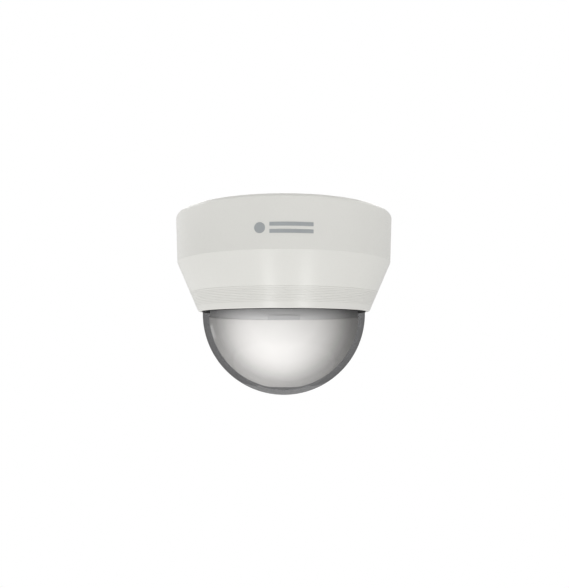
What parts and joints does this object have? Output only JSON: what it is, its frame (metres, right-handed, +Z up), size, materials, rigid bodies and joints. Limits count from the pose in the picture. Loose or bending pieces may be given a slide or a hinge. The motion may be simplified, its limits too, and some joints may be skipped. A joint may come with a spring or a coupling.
{
  "type": "dome cctv camera",
  "caption": "Ceiling dome camera: round two-part cover with ribbed trim, smoked bubble, ceiling plate and three-axis lens module with pale inner liner.",
  "frame": {"origin": "centre of the mounting face, on the ceiling plane", "axes": "+Z up into the ceiling, along the round cover's axis; -Y is the front, the side with the printed mark; the lens points down -Z at rest"},
  "size_m": [0.137, 0.137, 0.1126],
  "materials": {
    "cover_white": "satin moulded",
    "trim_white": "satin moulded, ribbed",
    "mark_grey": "printed",
    "bubble_smoke": "smoked clear",
    "gasket_rubber": "matt",
    "liner_white": "matt",
    "collar_grey": "matt",
    "tab_grey": "moulded",
    "plate_white": "matt moulded",
    "clip_steel": "spring steel",
    "screw_steel": "zinc plated",
    "bracket_steel": "sheet",
    "pillar_brass": "turned",
    "board_green": "solder mask",
    "chip_black": "moulded",
    "sink_aluminium": "extruded",
    "cap_aluminium": "can",
    "connector_ivory": "moulded",
    "jack_steel": "shield",
    "terminal_green": "moulded",
    "frame_aluminium": "die cast",
    "felt_grey": "felt",
    "cable_black": "sheath",
    "turntable_black": "moulded",
    "head_black": "moulded",
    "knob_black": "moulded",
    "washer_nylon": "nylon",
    "sensor_dark": "cover glass",
    "coil_copper": "wound",
    "lens_black": "anodised look",
    "lens_glass": "coated",
    "card_black": "moulded",
    "button_black": "moulded"
  },
  "bodies": {
    "ceiling_plate": {"base_plate": "plate_white", "cover_clips": "clip_steel", "board_pillars": "pillar_brass", "main_board": "board_green", "processor": "chip_black", "heat_sink": "sink_aluminium", "board_chips": "chip_black", "board_capacitors": "cap_aluminium", "board_connectors": "connector_ivory", "network_jack": "jack_steel", "power_terminal": "terminal_green", "terminal_screws": "screw_steel", "card_socket": "jack_steel", "reset_switch": "chip_black", "chassis_ring": "bracket_steel", "chassis_screws": "screw_steel", "friction_ring": "felt_grey", "fixed_cable": "cable_black"},
    "cover": {"cover_shell": "cover_white", "trim_ring": "trim_white", "trim_screws": "screw_steel", "bubble": "bubble_smoke", "bubble_gasket": "gasket_rubber", "front_mark": "mark_grey"},
    "pan_frame": {"turntable": "turntable_black", "turntable_retainer": "bracket_steel", "retainer_screws": "screw_steel", "yoke_left": "bracket_steel", "yoke_right": "bracket_steel", "yoke_screws": "screw_steel", "liner_carrier": "collar_grey", "liner_collar": "collar_grey", "collar_tab": "tab_grey", "liner_dome": "liner_white", "liner_screws": "screw_steel", "tilt_washers": "washer_nylon", "pan_cable": "cable_black"},
    "tilt_frame": {"tilt_ring": "frame_aluminium", "trunnion_clip": "clip_steel", "tilt_cable": "cable_black"},
    "tilt_lock": {"tilt_knob": "knob_black"},
    "camera_head": {"head_housing": "head_black", "head_clip": "clip_steel", "sensor_board": "board_green", "image_sensor": "sensor_dark", "sensor_screws": "screw_steel", "lens_mount": "head_black", "filter_motor": "coil_copper", "lens_barrel": "lens_black", "front_element": "lens_glass", "inner_elements": "lens_glass", "head_cable": "cable_black"},
    "zoom_control": {"zoom_ring": "lens_black", "zoom_lever": "screw_steel"},
    "focus_control": {"focus_ring": "lens_black", "focus_lever": "screw_steel"},
    "night_filter": {"filter_slide": "head_black", "filter_glass": "lens_glass"},
    "card": {"memory_card": "card_black"},
    "button": {"reset_button": "button_black"}
  },
  "joints": [
    {"name": "cover_off", "type": "slide", "parent": "ceiling_plate", "child": "cover", "axis": [0, 0, -1], "range_m": [0, 0.115], "deforming": ["cover_clips"]},
    {"name": "pan", "type": "hinge", "parent": "ceiling_plate", "child": "pan_frame", "pos_m": [0, 0, -0.026], "axis": [0, 0, 1], "range_deg": [-175, 175]},
    {"name": "tilt", "type": "hinge", "parent": "pan_frame", "child": "tilt_frame", "pos_m": [0, 0, -0.0612], "axis": [1, 0, 0], "range_deg": [0, 70]},
    {"name": "tilt_lock", "type": "hinge", "parent": "tilt_frame", "child": "tilt_lock", "pos_m": [0.031, 0, -0.0612], "axis": [1, 0, 0], "range_deg": [0, 270]},
    {"name": "image_rotate", "type": "hinge", "parent": "tilt_frame", "child": "camera_head", "pos_m": [0, 0, -0.0612], "axis": [0, 0, 1], "range_deg": [-175, 175]},
    {"name": "zoom", "type": "hinge", "parent": "camera_head", "child": "zoom_control", "pos_m": [0, 0, -0.0783], "axis": [0, 0, 1], "range_deg": [0, 60]},
    {"name": "focus", "type": "hinge", "parent": "camera_head", "child": "focus_control", "pos_m": [0, 0, -0.08995], "axis": [0, 0, 1], "range_deg": [0, 60]},
    {"name": "night_filter", "type": "slide", "parent": "camera_head", "child": "night_filter", "axis": [1, 0, 0], "range_m": [0, 0.007]},
    {"name": "card_out", "type": "slide", "parent": "ceiling_plate", "child": "card", "axis": [1, 0, 0], "range_m": [0, 0.0155]},
    {"name": "reset_press", "type": "slide", "parent": "ceiling_plate", "child": "button", "axis": [0, 0, 1], "range_m": [0, 0.0003], "stiffness_N_per_m": 400, "springref_m": -0.0006}
  ]
}
